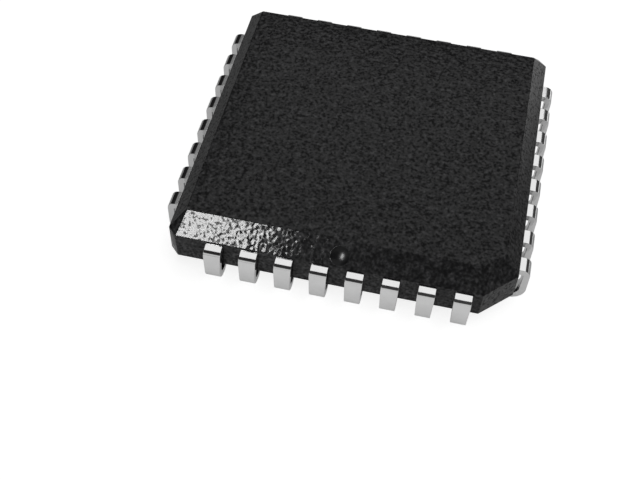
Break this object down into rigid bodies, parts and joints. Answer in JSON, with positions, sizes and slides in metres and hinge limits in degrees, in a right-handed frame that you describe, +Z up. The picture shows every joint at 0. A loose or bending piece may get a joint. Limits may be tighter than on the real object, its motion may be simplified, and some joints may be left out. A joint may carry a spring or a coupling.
{
  "type": "plcc chip",
  "caption": "Square surface-mount chip package: a moulded black body with a cut index corner and a dimple, J-shaped leads on all four sides and an exposed pad underneath.",
  "frame": {"origin": "on the seating plane under the leads, below the middle of the body", "axes": "+Z up through the top face; -Y is the side with the index dimple; the cut index corner is at +X, -Y; leads are numbered from the dimple, anticlockwise seen from above"},
  "size_m": [0.0132, 0.0132, 0.0024],
  "materials": {
    "mould_compound": "matte, fine grain",
    "tin_plate": "bright tin",
    "silver_plate": "brushed satin",
    "silver_epoxy": "matte",
    "silicon": "polished"
  },
  "bodies": {
    "root": {"mould_body": "mould_compound", "lead_01": "tin_plate", "lead_02": "tin_plate", "lead_03": "tin_plate", "lead_04": "tin_plate", "lead_05": "tin_plate", "lead_06": "tin_plate", "lead_07": "tin_plate", "lead_08": "tin_plate", "lead_09": "tin_plate", "lead_10": "tin_plate", "lead_11": "tin_plate", "lead_12": "tin_plate", "lead_13": "tin_plate", "lead_14": "tin_plate", "lead_15": "tin_plate", "lead_16": "tin_plate", "lead_17": "tin_plate", "lead_18": "tin_plate", "lead_19": "tin_plate", "lead_20": "tin_plate", "lead_21": "tin_plate", "lead_22": "tin_plate", "lead_23": "tin_plate", "lead_24": "tin_plate", "lead_25": "tin_plate", "lead_26": "tin_plate", "lead_27": "tin_plate", "lead_28": "tin_plate", "lead_29": "tin_plate", "lead_30": "tin_plate", "lead_31": "tin_plate", "lead_32": "tin_plate", "exposed_pad": "silver_plate", "die_attach": "silver_epoxy", "silicon_die": "silicon"}
  },
  "joints": []
}
